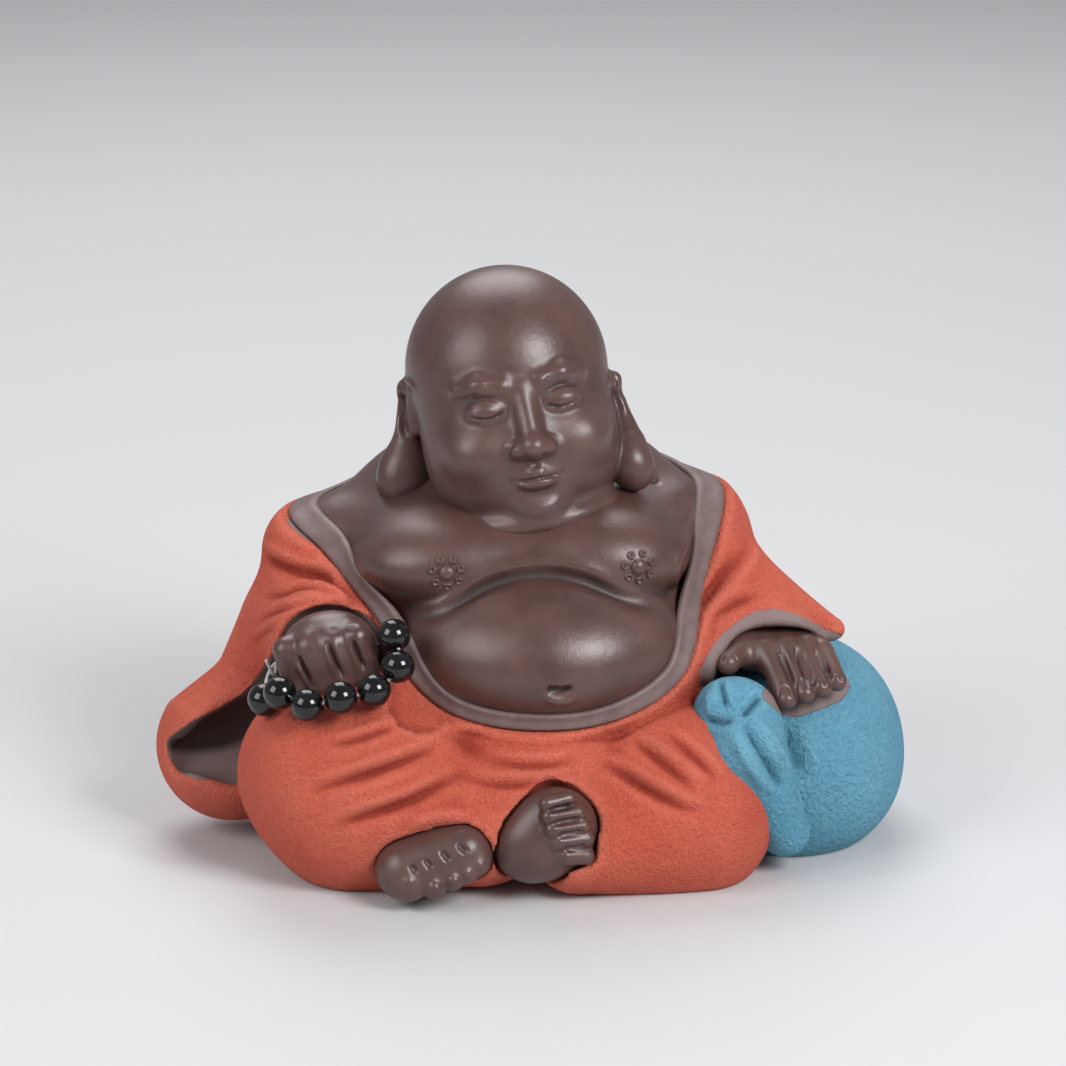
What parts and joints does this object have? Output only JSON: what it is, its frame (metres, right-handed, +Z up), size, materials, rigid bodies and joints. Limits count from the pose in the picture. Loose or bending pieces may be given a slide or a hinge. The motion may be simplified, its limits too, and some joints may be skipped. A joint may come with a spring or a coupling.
{
  "type": "tea pet",
  "caption": "Hollow stoneware tea pet: a seated bare-chested monk with a sack at one side and a swinging bead bracelet in the fist.",
  "frame": {"origin": "on the table, under the middle of the figure's box", "axes": "+Z up, +X towards the figure's left hand and sack, -Y towards the figure's front"},
  "size_m": [0.1154, 0.0798, 0.0871],
  "materials": {
    "clay_skin": "unglazed dark purple-brown stoneware, burnished to a satin",
    "robe_red": "gritty orange-red coloured clay, dry and matt",
    "sack_blue": "gritty blue coloured clay, dry and matt",
    "bead_black": "polished black, high gloss",
    "elastic": "clear stretch cord"
  },
  "bodies": {
    "figure": {"torso": "clay_skin", "base_slab": "clay_skin", "collar_trim": "clay_skin", "head": "clay_skin", "right_ear": "clay_skin", "left_ear": "clay_skin", "right_fist": "clay_skin", "left_hand": "clay_skin", "right_sleeve": "robe_red", "left_sleeve": "robe_red", "right_foot": "clay_skin", "left_foot": "clay_skin", "sack": "sack_blue", "sack_neck": "sack_blue", "right_leg": "robe_red", "left_leg": "robe_red", "lap_cloth": "robe_red", "robe_back": "robe_red"},
    "bracelet": {"elastic_cord": "elastic"},
    "bead_1": {"bead_1": "bead_black"},
    "bead_2": {"bead_2": "bead_black"},
    "bead_3": {"bead_3": "bead_black"},
    "bead_4": {"bead_4": "bead_black"},
    "bead_5": {"bead_5": "bead_black"},
    "bead_6": {"bead_6": "bead_black"},
    "bead_7": {"bead_7": "bead_black"}
  },
  "joints": [
    {"name": "bracelet_swing", "type": "hinge", "parent": "figure", "child": "bracelet", "pos_m": [-0.0301, -0.01861, 0.034], "axis": [-0.9745, 0.062, -0.2159], "range_deg": [0, 60]},
    {"name": "bead_1_spin", "type": "hinge", "parent": "bracelet", "child": "bead_1", "pos_m": [-0.0202, -0.02321, 0.0382], "axis": [0.139, -0.7092, -0.6912], "continuous": true},
    {"name": "bead_2_spin", "type": "hinge", "parent": "bracelet", "child": "bead_2", "pos_m": [-0.01948, -0.02687, 0.03462], "axis": [-0.2941, -0.6652, -0.6863], "continuous": true},
    {"name": "bead_3_spin", "type": "hinge", "parent": "bracelet", "child": "bead_3", "pos_m": [-0.02295, -0.02943, 0.03178], "axis": [-0.8413, -0.4161, -0.3451], "continuous": true},
    {"name": "bead_4_spin", "type": "hinge", "parent": "bracelet", "child": "bead_4", "pos_m": [-0.02783, -0.03101, 0.03119], "axis": [-0.9757, -0.098, -0.1959], "continuous": true},
    {"name": "bead_5_spin", "type": "hinge", "parent": "bracelet", "child": "bead_5", "pos_m": [-0.03277, -0.03042, 0.0298], "axis": [-0.9336, 0.3548, -0.05], "continuous": true},
    {"name": "bead_6_spin", "type": "hinge", "parent": "bracelet", "child": "bead_6", "pos_m": [-0.03697, -0.02754, 0.03071], "axis": [-0.7048, 0.6928, -0.1529], "continuous": true},
    {"name": "bead_7_spin", "type": "hinge", "parent": "bracelet", "child": "bead_7", "pos_m": [-0.03955, -0.02375, 0.02833], "axis": [-0.4999, 0.7339, -0.4599], "continuous": true}
  ]
}
